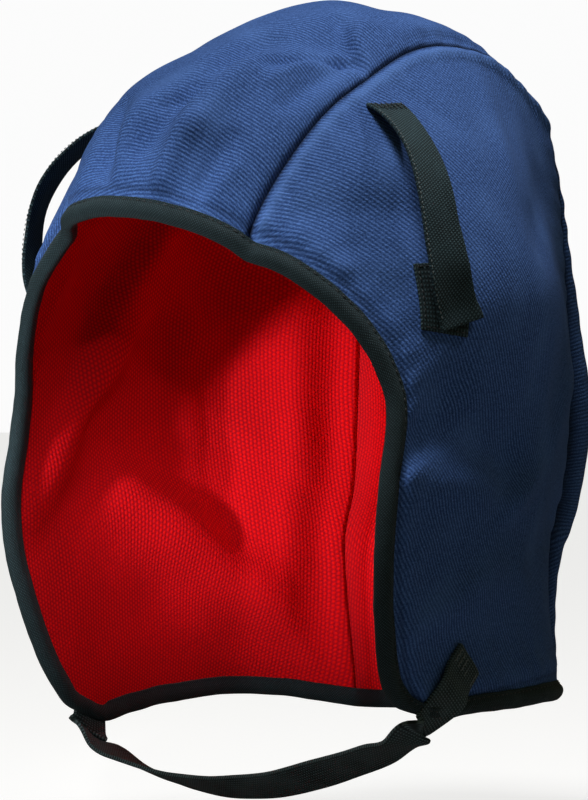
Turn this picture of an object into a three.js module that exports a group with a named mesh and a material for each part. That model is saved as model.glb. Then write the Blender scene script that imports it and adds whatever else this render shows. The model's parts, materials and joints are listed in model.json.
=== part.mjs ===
// Winter liner that is worn under a hard hat: a soft cap of twill over a knit lining.
// Lengths are in millimetres. X runs to the wearer's left, Y to the back and Z up.
// The origin is where the head touches the lining, under the top of the crown.
import * as THREE from 'three';

// The cap as a whole.
const capWidth = 200;
const capDepth = 250;
const capHeight = 300;
const sideSwell = 19;
const cornerEase = 14;

// Cloth walls, and the clearances between them.
const shellWall = 1.2;
const liningWall = 1.8;
const layerGap = 0.3;
const seamGap = 0.4;

// Bias binding round the face opening and the hem.
const bindingWidth = 7.5;
const bindingWall = 1.1;
const bindingGap = 0.4;

// Hook-and-loop tabs at the temples, and the patches that they close on.
const tabWidth = 20;
const tabWall = 1.6;
const leftTabBulge = 8;
const rightTabBulge = 15;
const patchWidth = 22;
const patchLength = 26;
const patchWall = 1.2;
const trimGap = 0.5;

// Chin strap.
const strapWidth = 19;
const strapWall = 1.6;
const strapPast = 5;
const strapDrop = 25;
const strapGap = 1.1;
const strapTurn = 32;

// Steps of the surface: along a side panel, up it, and across the centre panel.
const sideSteps = 14;
const riseSteps = 16;
const archSteps = 8;

// Seam between the centre panel and a side panel, from the brow over the crown to the nape.
// back is a share of capDepth, up of capHeight above the hem, half of half the capWidth,
// and rise, how far the centre panel arches over its two seams, of capDepth.
// square sets how full the arch is. lean is how much lower the left seam lies than their
// mean, and drop how much lower the middle of the arch lies, both shares of capHeight.
const seamRows = [
  { back: -0.440, up: 0.640, half: 0.46, rise: 0.060, square: 1.9, lean: 0.018, drop: -0.026 },
  { back: -0.418, up: 0.692, half: 0.47, rise: 0.070, square: 1.8, lean: 0.018, drop: -0.014 },
  { back: -0.348, up: 0.770, half: 0.50, rise: 0.090, square: 1.7, lean: 0.017, drop: 0.000 },
  { back: -0.268, up: 0.830, half: 0.53, rise: 0.088, square: 1.6, lean: 0.012, drop: 0.000 },
  { back: -0.180, up: 0.865, half: 0.54, rise: 0.088, square: 1.6, lean: 0.004, drop: 0.000 },
  { back: -0.072, up: 0.905, half: 0.54, rise: 0.088, square: 1.7, lean: 0.000, drop: 0.000 },
  { back: 0.010, up: 0.923, half: 0.54, rise: 0.090, square: 1.7, lean: 0.000, drop: 0.000 },
  { back: 0.092, up: 0.927, half: 0.54, rise: 0.078, square: 1.7, lean: 0.000, drop: 0.000 },
  { back: 0.178, up: 0.920, half: 0.54, rise: 0.056, square: 1.7, lean: 0.000, drop: 0.000 },
  { back: 0.266, up: 0.890, half: 0.54, rise: 0.040, square: 1.8, lean: 0.000, drop: 0.000 },
  { back: 0.334, up: 0.855, half: 0.54, rise: 0.030, square: 1.9, lean: 0.000, drop: 0.000 },
  { back: 0.366, up: 0.810, half: 0.54, rise: 0.032, square: 2.0, lean: 0.000, drop: 0.000 },
  { back: 0.382, up: 0.740, half: 0.55, rise: 0.048, square: 2.3, lean: 0.000, drop: 0.000 },
  { back: 0.388, up: 0.640, half: 0.56, rise: 0.084, square: 2.6, lean: 0.000, drop: 0.000 },
  { back: 0.394, up: 0.540, half: 0.57, rise: 0.130, square: 2.8, lean: 0.000, drop: 0.000 },
  { back: 0.392, up: 0.420, half: 0.58, rise: 0.158, square: 3.0, lean: 0.000, drop: 0.000 },
  { back: 0.376, up: 0.310, half: 0.57, rise: 0.138, square: 3.0, lean: -0.002, drop: 0.000 },
  { back: 0.344, up: 0.237, half: 0.56, rise: 0.126, square: 2.8, lean: -0.005, drop: 0.000 },
  { back: 0.342, up: 0.150, half: 0.54, rise: 0.108, square: 2.6, lean: -0.009, drop: 0.004 },
  { back: 0.356, up: 0.060, half: 0.53, rise: 0.100, square: 2.5, lean: -0.014, drop: 0.016 },
  { back: 0.368, up: -0.003, half: 0.53, rise: 0.104, square: 2.4, lean: -0.016, drop: 0.024 },
];

// Edge of a side panel round the face, from the hem corner up to the brow seam.
const faceRows = [
  { side: 0.840, back: -0.216, up: 0.004, lean: -0.018 },
  { side: 0.860, back: -0.264, up: 0.030, lean: -0.015 },
  { side: 0.879, back: -0.300, up: 0.063, lean: -0.010 },
  { side: 0.909, back: -0.326, up: 0.107, lean: -0.004 },
  { side: 0.942, back: -0.352, up: 0.173, lean: 0.000 },
  { side: 0.973, back: -0.366, up: 0.240, lean: 0.000 },
  { side: 0.984, back: -0.366, up: 0.310, lean: 0.000 },
  { side: 0.982, back: -0.346, up: 0.390, lean: 0.000 },
  { side: 0.970, back: -0.340, up: 0.440, lean: 0.000 },
  { side: 0.923, back: -0.354, up: 0.490, lean: 0.000 },
  { side: 0.837, back: -0.379, up: 0.540, lean: 0.000 },
  { side: 0.703, back: -0.412, up: 0.588, lean: 0.003 },
  { side: 0.570, back: -0.430, up: 0.620, lean: 0.010 },
  { side: 0.460, back: -0.440, up: 0.640, lean: 0.018 },
];

// Hem of a side panel, from its front corner to the nape seam.
const hemRows = [
  { side: 0.840, back: -0.216, up: 0.004, lean: -0.018 },
  { side: 0.880, back: -0.160, up: 0.003, lean: -0.019 },
  { side: 0.900, back: -0.090, up: 0.010, lean: -0.017 },
  { side: 0.900, back: 0.040, up: 0.015, lean: -0.012 },
  { side: 0.850, back: 0.180, up: 0.017, lean: -0.011 },
  { side: 0.720, back: 0.280, up: 0.010, lean: -0.012 },
  { side: 0.530, back: 0.368, up: -0.003, lean: -0.016 },
];

// Share of the seam at which it turns down the back of the head.
const crownShare = 0.49;

// Dents and folds of the panels, pressed in or raised along the surface's normal.
// along and up place one on a side panel, length and width are shares of the same ranges,
// turn is the slope of its length in degrees, and depth is in millimetres, outwards positive.
const sideDents = {
  left: [
    { along: 0.30, up: 0.29, length: 0.30, width: 0.040, turn: 0, depth: -5 },
    { along: 0.30, up: 0.22, length: 0.30, width: 0.040, turn: 2, depth: 3 },
    { along: 0.62, up: 0.36, length: 0.14, width: 0.050, turn: -50, depth: 3 },
    { along: 0.12, up: 0.80, length: 0.10, width: 0.100, turn: 0, depth: -3 },
    { along: 0.42, up: 0.64, length: 0.30, width: 0.090, turn: -6, depth: 5 },
  ],
  right: [
    { along: 0.35, up: 0.55, length: 0.30, width: 0.060, turn: 35, depth: -5 },
    { along: 0.25, up: 0.36, length: 0.25, width: 0.050, turn: 10, depth: 3 },
    { along: 0.50, up: 0.25, length: 0.25, width: 0.060, turn: -20, depth: -3 },
  ],
};

// The same on the centre panel, where along runs from brow to nape and across from -1 to 1.
const centreDents = [
  { along: 0.215, across: 0.62, length: 0.022, width: 0.16, depth: -4 },
  { along: 0.130, across: -0.45, length: 0.022, width: 0.40, depth: -2.5 },
  { along: 0.640, across: 0.00, length: 0.030, width: 0.90, depth: -3 },
];

// Where the tabs, their patches and the strap's ends lie on a side panel: along runs from the
// face edge to the back seam, and up from the hem to the crown seam.
const tabTop = { along: 0.39, up: 0.955 };
const tabBend = { along: 0.265, up: 0.76 };
const tabFoot = { along: 0.245, up: 0.632 };
const patchMiddle = { along: 0.235, up: 0.675 };
const strapEnd = { along: 0.28, up: 0.115 };
const strapExit = { along: 0.055, up: 0.004 };

// How far the strap hangs below a line between the points where it leaves the hem, as a share of
// strapDrop, and how far its outer face turns forward. share runs from left to right.
const strapRows = [
  { share: 0.05, drop: 0.20, forward: 0.20 },
  { share: 0.12, drop: 0.36, forward: 0.50 },
  { share: 0.25, drop: 0.60, forward: 0.80 },
  { share: 0.40, drop: 0.82, forward: 1.00 },
  { share: 0.55, drop: 0.89, forward: 0.90 },
  { share: 0.70, drop: 0.79, forward: 0.60 },
  { share: 0.84, drop: 0.54, forward: 0.30 },
  { share: 0.94, drop: 0.26, forward: 0.10 },
];

const clothWall = shellWall + layerGap + liningWall;
const halfWidth = capWidth / 2;

// A smooth line through the rows of a table. It gives every column at a share of its length.
function smoothLine(rows) {
  const columns = Object.keys(rows[0]);
  const place = (row) => new THREE.Vector3(
    (row.side ?? row.half) * halfWidth, row.back * capDepth, row.up * capHeight);
  const knots = [0];
  for (let i = 1; i < rows.length; i += 1) {
    knots.push(knots[i - 1] + place(rows[i]).distanceTo(place(rows[i - 1])));
  }
  const slope = (i, column) => {
    const before = Math.max(i - 1, 0);
    const after = Math.min(i + 1, rows.length - 1);
    return (rows[after][column] - rows[before][column]) / (knots[after] - knots[before]);
  };
  const total = knots[knots.length - 1];
  return (share) => {
    const along = THREE.MathUtils.clamp(share, 0, 1) * total;
    let i = 0;
    while (i < rows.length - 2 && knots[i + 1] < along) {
      i += 1;
    }
    const span = knots[i + 1] - knots[i];
    const t = (along - knots[i]) / span;
    const values = {};
    for (const column of columns) {
      const start = rows[i][column];
      const end = rows[i + 1][column];
      values[column] = (2 * t ** 3 - 3 * t ** 2 + 1) * start
        + (t ** 3 - 2 * t ** 2 + t) * span * slope(i, column)
        + (3 * t ** 2 - 2 * t ** 3) * end
        + (t ** 3 - t ** 2) * span * slope(i + 1, column);
    }
    return values;
  };
}

const seamLine = smoothLine(seamRows);
const faceLine = smoothLine(faceRows);
const hemLine = smoothLine(hemRows);

// A point of the cap's outer surface from shares of its sizes, on the side of the given sign.
function capPoint(side, back, up, lean, sign) {
  return new THREE.Vector3(
    side * halfWidth * sign,
    back * capDepth,
    (up - lean * sign) * capHeight);
}

function seamPoint(share, sign) {
  const row = seamLine(share);
  return capPoint(row.half, row.back, row.up, row.lean, sign);
}

// Rises from 0 to 1 within a margin of each end of the range from 0 to 1.
function fadeEnds(share, margin) {
  const { smoothstep } = THREE.MathUtils;
  return smoothstep(share, 0, margin) * smoothstep(1 - share, 0, margin);
}

function centreRelief(share, across) {
  let depth = 0;
  for (const dent of centreDents) {
    const lengthways = (share - dent.along) / dent.length;
    const sideways = (across - dent.across) / dent.width;
    depth += dent.depth * Math.exp(-(lengthways ** 2) - sideways ** 2);
  }
  return depth * fadeEnds((across + 1) / 2, 0.12);
}

function sideRelief(along, up, sign) {
  let depth = 0;
  for (const dent of sign > 0 ? sideDents.left : sideDents.right) {
    const angle = THREE.MathUtils.degToRad(dent.turn);
    const right = along - dent.along;
    const above = up - dent.up;
    const lengthways = (right * Math.cos(angle) + above * Math.sin(angle)) / dent.length;
    const sideways = (above * Math.cos(angle) - right * Math.sin(angle)) / dent.width;
    depth += dent.depth * Math.exp(-(lengthways ** 2) - sideways ** 2);
  }
  return depth * fadeEnds(along, 0.12) * fadeEnds(up, 0.12);
}

// Centre panel: an arch between the two seams. across runs from -1 to 1.
function centrePoint(share, across) {
  const step = 0.01;
  const row = seamLine(share);
  const before = capPoint(0, seamLine(share - step).back, seamLine(share - step).up, 0, 1);
  const after = capPoint(0, seamLine(share + step).back, seamLine(share + step).up, 0, 1);
  const run = after.sub(before).normalize();
  const arch = row.rise * capDepth * (1 - Math.abs(across) ** row.square) ** (1 / row.square);
  const drop = row.drop * arch / (row.rise * capDepth);
  const point = capPoint(row.half * across, row.back, row.up - drop, row.lean * across, 1);
  const depth = arch + centreRelief(share, across);
  return point.add(new THREE.Vector3(0, -run.z, run.y).multiplyScalar(depth));
}

// Side panel: stretched between its four edges and swelled outwards, fullest above the ear.
// along runs from the face edge to the back seam, up from the hem to the crown seam.
function sidePoint(along, up, sign) {
  const edgePoint = (row) => capPoint(row.side, row.back, row.up, row.lean, sign);
  const top = (share) => seamPoint(share * crownShare, sign);
  const rear = (share) => seamPoint(1 - share * (1 - crownShare), sign);
  const blend = (a, b, share) => a.clone().lerp(b, share);
  const between = blend(edgePoint(hemLine(along)), top(along), up);
  between.add(blend(edgePoint(faceLine(up)), rear(up), along));
  const corners = blend(
    blend(edgePoint(hemLine(0)), edgePoint(hemLine(1)), along),
    blend(top(0), top(1), along), up);
  between.sub(corners);
  const full = Math.sin(Math.PI * along ** (1.7 - 0.7 * up)) * Math.sin(Math.PI * up ** 2.2);
  between.x += sign * (sideSwell * full + sideRelief(along, up, sign));
  const fullest = 0.105;
  const ease = along ** 3 * (1 - along) * up ** 3 * (1 - up) / fullest ** 2;
  between.y -= 0.75 * cornerEase * ease;
  between.z -= 0.66 * cornerEase * ease;
  return between;
}

// Length of a line of the surface, to set the binding's width on it.
function lineLength(pointAt) {
  const parts = 24;
  let length = 0;
  for (let i = 0; i < parts; i += 1) {
    length += pointAt(i / parts).distanceTo(pointAt((i + 1) / parts));
  }
  return length;
}

// Shares of the steps from an edge: the first step is as wide as the binding.
function stepShares(steps, length) {
  const band = bindingWidth / length;
  const shares = [0];
  for (let i = 1; i <= steps; i += 1) {
    shares.push(band + (1 - band) * (i - 1) / (steps - 1));
  }
  return shares;
}

// Shares of the seam's stations, which the panels on both sides of a seam keep to.
const crownStations = stepShares(sideSteps, lineLength((t) => sidePoint(t, 1, 1)));
const rearStations = stepShares(riseSteps, lineLength((t) => sidePoint(1, t, 1)));

function sideGrid(sign) {
  const grid = [];
  for (let i = 0; i <= sideSteps; i += 1) {
    grid.push([]);
    const columnLength = lineLength((t) => sidePoint(crownStations[i], t, sign));
    const upShares = i === sideSteps ? rearStations : stepShares(riseSteps, columnLength);
    for (let j = 0; j <= riseSteps; j += 1) {
      const rowLength = lineLength((t) => sidePoint(t, rearStations[j], sign));
      const alongShares = j === riseSteps ? crownStations : stepShares(sideSteps, rowLength);
      grid[i].push(sidePoint(alongShares[i], upShares[j], sign));
    }
  }
  return grid;
}

function centreGrid() {
  const shares = crownStations.map((share) => share * crownShare);
  const down = [...rearStations].reverse().slice(1);
  shares.push(...down.map((share) => 1 - share * (1 - crownShare)));
  return shares.map((share) => {
    const row = [];
    for (let j = 0; j <= archSteps; j += 1) {
      row.push(centrePoint(share, Math.sin(Math.PI * (j / archSteps - 0.5))));
    }
    return row;
  });
}

// Three grids of points that share their seams.
const grids = {
  center: centreGrid(),
  left: sideGrid(1),
  right: sideGrid(-1),
};

const pointKey = (point) => `${point.x.toFixed(2)} ${point.y.toFixed(2)} ${point.z.toFixed(2)}`;
// Grids whose rows and columns turn so that their faces would point inwards.
const facesFlipped = { center: true, left: false, right: true };

// Normals of the whole cap, shared along the seams so that offset walls still meet there.
const normalSums = new Map();
for (const [name, grid] of Object.entries(grids)) {
  for (let i = 0; i < grid.length - 1; i += 1) {
    for (let j = 0; j < grid[0].length - 1; j += 1) {
      const corners = [grid[i][j], grid[i + 1][j], grid[i + 1][j + 1], grid[i][j + 1]];
      const first = corners[2].clone().sub(corners[0]);
      const second = corners[3].clone().sub(corners[1]);
      const normal = first.cross(second);
      if (facesFlipped[name]) {
        normal.negate();
      }
      for (const corner of corners) {
        const key = pointKey(corner);
        const sum = normalSums.get(key) ?? new THREE.Vector3();
        normalSums.set(key, sum.add(normal));
      }
    }
  }
}
const normalAt = (point) => normalSums.get(pointKey(point)).clone().normalize();

function geometryFrom(points, triangles) {
  const geometry = new THREE.BufferGeometry();
  geometry.setAttribute('position', new THREE.Float32BufferAttribute(
    points.flatMap((point) => point.toArray()), 3));
  geometry.setIndex(triangles);
  geometry.computeVertexNormals();
  return geometry;
}

// Splits a four-cornered face along its shorter diagonal, so that cloths that lie on each
// other split alike.
function splitFace(points, a, b, c, d) {
  if (points[a].distanceTo(points[c]) <= points[b].distanceTo(points[d])) {
    return [a, b, c, a, c, d];
  }
  return [a, b, d, b, c, d];
}

// A closed sheet between two grids of points of the same size.
function sheetSolid(upper, lower) {
  const rows = upper.length;
  const columns = upper[0].length;
  const points = [...upper.flat(), ...lower.flat()];
  const at = (i, j, face) => face * rows * columns + i * columns + j;
  const triangles = [];
  const quad = (a, b, c, d) => triangles.push(...splitFace(points, a, b, c, d));
  for (let i = 0; i < rows - 1; i += 1) {
    for (let j = 0; j < columns - 1; j += 1) {
      quad(at(i, j, 0), at(i + 1, j, 0), at(i + 1, j + 1, 0), at(i, j + 1, 0));
      quad(at(i, j, 1), at(i, j + 1, 1), at(i + 1, j + 1, 1), at(i + 1, j, 1));
    }
  }
  for (let i = 0; i < rows - 1; i += 1) {
    quad(at(i, 0, 0), at(i, 0, 1), at(i + 1, 0, 1), at(i + 1, 0, 0));
    quad(at(i + 1, columns - 1, 0), at(i + 1, columns - 1, 1), at(i, columns - 1, 1),
      at(i, columns - 1, 0));
  }
  for (let j = 0; j < columns - 1; j += 1) {
    quad(at(0, j + 1, 0), at(0, j + 1, 1), at(0, j, 1), at(0, j, 0));
    quad(at(rows - 1, j, 0), at(rows - 1, j, 1), at(rows - 1, j + 1, 1), at(rows - 1, j + 1, 0));
  }
  return geometryFrom(points, triangles);
}

// A panel's own grid, drawn back from its seams by half the seam gap.
function panelGrid(name) {
  const grid = grids[name];
  const rows = grid.length;
  const columns = grid[0].length;
  const drawn = grid.map((row) => row.map(
    (point) => ({ point: point.clone(), normal: normalAt(point) })));
  const pull = (i, j, towardI, towardJ) => {
    const away = grid[towardI][towardJ].clone().sub(grid[i][j]).setLength(seamGap / 2);
    drawn[i][j].point.add(away);
  };
  if (name === 'center') {
    for (let i = 0; i < rows; i += 1) {
      pull(i, 0, i, 1);
      pull(i, columns - 1, i, columns - 2);
    }
  } else {
    for (let i = 0; i < rows; i += 1) {
      pull(i, columns - 1, i, columns - 2);
    }
    for (let j = 0; j < columns; j += 1) {
      pull(rows - 1, j, rows - 2, j);
    }
  }
  return drawn;
}

function panelLayer(name, outside, inside) {
  const drawn = panelGrid(name);
  const offset = (depth) => drawn.map((row) => row.map(
    ({ point, normal }) => point.clone().addScaledVector(normal, -depth)));
  return orient(sheetSolid(offset(outside), offset(inside)));
}

// The cap's edge as a closed loop: each stop has its edge point and the point one step in.
function edgeLoop() {
  const stops = [];
  const last = grids.center.length - 1;
  for (let j = 0; j < riseSteps; j += 1) {
    const inner = j === 0 ? grids.left[1][1] : grids.left[1][j];
    stops.push({ edge: grids.left[0][j], inner });
  }
  for (let j = archSteps; j >= 0; j -= 1) {
    stops.push({ edge: grids.center[0][j], inner: grids.center[1][j] });
  }
  for (let j = riseSteps - 1; j >= 0; j -= 1) {
    const inner = j === 0 ? grids.right[1][1] : grids.right[1][j];
    stops.push({ edge: grids.right[0][j], inner });
  }
  for (let i = 1; i < sideSteps; i += 1) {
    stops.push({ edge: grids.right[i][0], inner: grids.right[i][1] });
  }
  for (let j = 0; j <= archSteps; j += 1) {
    stops.push({ edge: grids.center[last][j], inner: grids.center[last - 1][j] });
  }
  for (let i = sideSteps - 1; i > 0; i -= 1) {
    stops.push({ edge: grids.left[i][0], inner: grids.left[i][1] });
  }
  return stops;
}

// Rings of points joined into one closed tube. A loop joins its last ring to its first,
// and an open run is capped at both ends.
function ringSolid(rings, looped) {
  const sides = rings[0].length;
  const points = rings.flat();
  const triangles = [];
  const spans = looped ? rings.length : rings.length - 1;
  for (let i = 0; i < spans; i += 1) {
    const next = (i + 1) % rings.length;
    for (let k = 0; k < sides; k += 1) {
      const turn = (k + 1) % sides;
      triangles.push(...splitFace(points, i * sides + k, next * sides + k, next * sides + turn,
        i * sides + turn));
    }
  }
  if (!looped) {
    const end = (rings.length - 1) * sides;
    for (let k = 1; k < sides - 1; k += 1) {
      triangles.push(0, k, k + 1);
      triangles.push(end, end + k + 1, end + k);
    }
  }
  return geometryFrom(points, triangles);
}

// Bias binding: a folded strip that wraps the edges of shell and lining.
function edgeBinding() {
  const outside = bindingGap;
  const inside = -clothWall - bindingGap;
  const lip = bindingGap + bindingWall;
  const middle = (outside + inside) / 2;
  const half = (outside - inside) / 2;
  const section = [
    { into: 1, lift: outside + bindingWall },
    { into: 0, lift: outside + bindingWall },
    { past: lip, lift: middle + half * 0.6 },
    { past: lip, lift: middle - half * 0.6 },
    { into: 0, lift: inside - bindingWall },
    { into: 1, lift: inside - bindingWall },
    { into: 1, lift: inside },
    { past: bindingGap, lift: inside },
    { past: bindingGap, lift: outside },
    { into: 1, lift: outside },
  ];
  const rings = edgeLoop().map(({ edge, inner }) => {
    const edgeNormal = normalAt(edge);
    const innerNormal = normalAt(inner);
    const out = edge.clone().sub(inner);
    out.addScaledVector(edgeNormal, -out.dot(edgeNormal)).normalize();
    return section.map(({ into, past, lift }) => {
      if (past !== undefined) {
        return edge.clone().addScaledVector(out, past).addScaledVector(edgeNormal, lift);
      }
      const normal = edgeNormal.clone().lerp(innerNormal, into).normalize();
      return edge.clone().lerp(inner, into).addScaledVector(normal, lift);
    });
  });
  return orient(ringSolid(rings, true));
}

// A frame on a side panel: a point, the outward normal, and unit steps to the back and up.
function panelFrame(spot, sign) {
  const step = 0.01;
  const point = sidePoint(spot.along, spot.up, sign);
  const ends = (share) => [Math.max(share - step, 0), Math.min(share + step, 1)];
  const [front, back] = ends(spot.along);
  const [low, high] = ends(spot.up);
  const along = sidePoint(back, spot.up, sign).sub(sidePoint(front, spot.up, sign));
  const up = sidePoint(spot.along, high, sign).sub(sidePoint(spot.along, low, sign));
  const perAlong = along.length() / (back - front);
  const perUp = up.length() / (high - low);
  const normal = along.clone().cross(up).multiplyScalar(sign).normalize();
  return { point, normal, along: along.normalize(), up: up.normalize(), perAlong, perUp };
}

function spotBetween(start, end, share) {
  const { lerp } = THREE.MathUtils;
  return { along: lerp(start.along, end.along, share), up: lerp(start.up, end.up, share) };
}

// Stops of a band with its width square to its run and level with the face that they ask for.
function levelStops(stops) {
  return stops.map((stop, i) => {
    const before = stops[Math.max(i - 1, 0)].point;
    const after = stops[Math.min(i + 1, stops.length - 1)].point;
    const run = after.clone().sub(before).normalize();
    const widthways = stop.face.clone().cross(run).normalize();
    const face = run.clone().cross(widthways).normalize();
    return { point: stop.point, widthways, face };
  });
}

// A band of even width and thickness through stops that give a point, the direction of the
// band's width and its outer face.
function bandSolid(stops, width, wall) {
  const rings = stops.map(({ point, widthways, face }) => {
    const corner = (a, b) => point.clone().addScaledVector(widthways, a * width / 2)
      .addScaledVector(face, b * wall / 2);
    return [corner(1, 1), corner(-1, 1), corner(-1, -1), corner(1, -1)];
  });
  return ringSolid(rings, false);
}

// Tab: sewn down at its top, it stands off the panel in a bow and ends on its patch.
function tab(sign, bulge) {
  const steps = 16;
  const seat = trimGap + tabWall / 2;
  const overPatch = patchWall + trimGap;
  const path = new THREE.SplineCurve([tabTop, tabBend, tabFoot].map(
    (spot) => new THREE.Vector2(spot.along, spot.up)));
  const stops = [];
  for (let i = 0; i <= steps; i += 1) {
    const share = i / steps;
    const spot = path.getPoint(share);
    const frame = panelFrame({ along: spot.x, up: spot.y }, sign);
    const bow = Math.max(Math.sin(Math.PI * share ** 0.8 * 1.08), 0) ** 1.3 * bulge;
    const onPatch = THREE.MathUtils.smoothstep(share, 0.45, 0.7) * overPatch;
    const point = frame.point.clone().addScaledVector(frame.normal, seat + bow + onPatch);
    stops.push({ point, face: frame.normal });
  }
  return orient(bandSolid(levelStops(stops), tabWidth, tabWall));
}

// Patch of hook tape that lies flat on the side panel under a tab's free end.
function tabPatch(sign) {
  const steps = 3;
  const run = panelFrame(tabFoot, sign).point.sub(panelFrame(tabTop, sign).point).normalize();
  const middle = panelFrame(patchMiddle, sign);
  const slope = Math.atan2(run.dot(middle.along), -run.dot(middle.up));
  const cellPoint = (a, b, lift) => {
    const right = (a / steps - 0.5) * patchWidth;
    const down = (b / steps - 0.5) * patchLength;
    const back = right * Math.cos(slope) + down * Math.sin(slope);
    const rise = right * Math.sin(slope) - down * Math.cos(slope);
    const frame = panelFrame({
      along: patchMiddle.along + back / middle.perAlong,
      up: patchMiddle.up + rise / middle.perUp,
    }, sign);
    return frame.point.clone().addScaledVector(frame.normal, lift);
  };
  const layer = (lift) => {
    const grid = [];
    for (let a = 0; a <= steps; a += 1) {
      grid.push([]);
      for (let b = 0; b <= steps; b += 1) {
        grid[a].push(cellPoint(a, b, lift));
      }
    }
    return grid;
  };
  return orient(sheetSolid(layer(trimGap + patchWall), layer(trimGap)));
}

// Turns a closed geometry's faces outwards.
function orient(geometry) {
  const position = geometry.getAttribute('position');
  const index = geometry.getIndex().array;
  const corner = (i) => new THREE.Vector3().fromBufferAttribute(position, index[i]);
  let volume = 0;
  for (let i = 0; i < index.length; i += 3) {
    volume += corner(i).dot(corner(i + 1).cross(corner(i + 2)));
  }
  if (volume < 0) {
    for (let i = 0; i < index.length; i += 3) {
      const second = index[i + 1];
      index[i + 1] = index[i + 2];
      index[i + 2] = second;
    }
    geometry.computeVertexNormals();
  }
  return geometry;
}

// Chin strap: sewn flat on the outside of one cheek, it passes over the binding, hangs under
// the chin and ends the same way on the other cheek.
function chinStrap() {
  const onCloth = strapGap + strapWall / 2;
  const onBinding = onCloth + bindingGap + bindingWall;
  const sewn = [
    { share: 0, lift: onCloth },
    { share: 0.25, lift: onCloth },
    { share: 0.5, lift: onBinding },
    { share: 1, lift: onBinding },
  ];
  const hold = (sign) => {
    const stops = sewn.map(({ share, lift }) => {
      const frame = panelFrame(spotBetween(strapEnd, strapExit, share), sign);
      return { point: frame.point.addScaledVector(frame.normal, lift), face: frame.normal };
    });
    const { point, face } = stops[stops.length - 1];
    const run = point.clone().sub(stops[stops.length - 2].point).setLength(strapPast);
    return [...stops, { point: point.clone().add(run), face }];
  };
  const left = hold(1);
  const right = hold(-1).reverse();
  const from = left[left.length - 1].point;
  const to = right[0].point;
  const tilt = Math.tan(THREE.MathUtils.degToRad(strapTurn));
  const hang = strapRows.map(({ share, drop, forward }) => {
    const point = from.clone().lerp(to, share);
    point.z -= strapDrop * drop;
    const turn = Math.PI * share;
    return { point, face: new THREE.Vector3(Math.cos(turn), -tilt * forward, -Math.sin(turn)) };
  });
  const stops = [...left, ...hang, ...right];
  const route = new THREE.CatmullRomCurve3(stops.map((stop) => stop.point), false, 'catmullrom');
  const faces = new THREE.CatmullRomCurve3(stops.map((stop) => stop.face), false, 'catmullrom');
  const steps = 3 * (stops.length - 1);
  const fine = [];
  for (let i = 0; i <= steps; i += 1) {
    fine.push({ point: route.getPoint(i / steps), face: faces.getPoint(i / steps) });
  }
  return orient(bandSolid(levelStops(fine), strapWidth, strapWall));
}

// Colours of the cloths.
const twill = new THREE.MeshStandardMaterial({ color: '#2f4a78', roughness: 0.82, metalness: 0 });
const knit = new THREE.MeshStandardMaterial({ color: '#c00d10', roughness: 0.9, metalness: 0 });
const tape = new THREE.MeshStandardMaterial({ color: '#1f2b2f', roughness: 0.75, metalness: 0 });
const webbing = new THREE.MeshStandardMaterial({ color: '#222c30', roughness: 0.7, metalness: 0 });

// The highest point of the middle line, taken through the cloths, is where the head touches.
const middleLine = grids.center.map((row) => row[archSteps / 2]);
const crownTop = middleLine.reduce((top, point) => (point.z > top.z ? point : top));
const headSeat = crownTop.clone().addScaledVector(normalAt(crownTop), -clothWall);

const liner = new THREE.Group();
function place(name, geometry, material) {
  geometry.translate(0, -headSeat.y, -headSeat.z);
  const mesh = new THREE.Mesh(geometry, material);
  mesh.name = name;
  liner.add(mesh);
}

for (const name of ['center', 'left', 'right']) {
  const shell = panelLayer(name, 0, shellWall);
  const lining = panelLayer(name, shellWall + layerGap, clothWall);
  place(name === 'center' ? 'center_panel' : `${name}_side_panel`, shell, twill);
  place(`${name}_lining`, lining, knit);
}
place('edge_binding', edgeBinding(), tape);
place('left_tab', tab(1, leftTabBulge), webbing);
place('right_tab', tab(-1, rightTabBulge), webbing);
place('left_tab_patch', tabPatch(1), tape);
place('right_tab_patch', tabPatch(-1), tape);
place('chin_strap', chinStrap(), webbing);

export default liner;
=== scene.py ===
import json
import math
import bmesh
import bpy
from mathutils import Matrix, Vector, noise
from mathutils.kdtree import KDTree

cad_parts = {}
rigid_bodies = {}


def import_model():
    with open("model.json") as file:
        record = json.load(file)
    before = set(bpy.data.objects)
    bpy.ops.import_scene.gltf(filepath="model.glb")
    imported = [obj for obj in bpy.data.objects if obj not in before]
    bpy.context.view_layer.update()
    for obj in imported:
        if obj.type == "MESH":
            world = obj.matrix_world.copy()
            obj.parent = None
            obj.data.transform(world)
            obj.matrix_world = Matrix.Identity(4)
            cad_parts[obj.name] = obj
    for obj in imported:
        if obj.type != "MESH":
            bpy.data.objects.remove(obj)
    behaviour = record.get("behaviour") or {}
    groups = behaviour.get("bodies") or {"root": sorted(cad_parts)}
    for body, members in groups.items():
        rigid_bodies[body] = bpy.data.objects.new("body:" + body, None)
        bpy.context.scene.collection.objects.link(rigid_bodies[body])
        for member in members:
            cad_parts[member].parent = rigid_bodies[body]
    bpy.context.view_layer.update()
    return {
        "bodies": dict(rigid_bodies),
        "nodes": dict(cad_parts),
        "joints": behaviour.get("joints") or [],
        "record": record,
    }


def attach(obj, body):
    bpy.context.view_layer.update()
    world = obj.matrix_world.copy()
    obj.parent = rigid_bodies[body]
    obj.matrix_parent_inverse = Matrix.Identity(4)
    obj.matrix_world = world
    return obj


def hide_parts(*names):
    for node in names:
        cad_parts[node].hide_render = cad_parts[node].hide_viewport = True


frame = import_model()
print("frame loaded")

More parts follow.
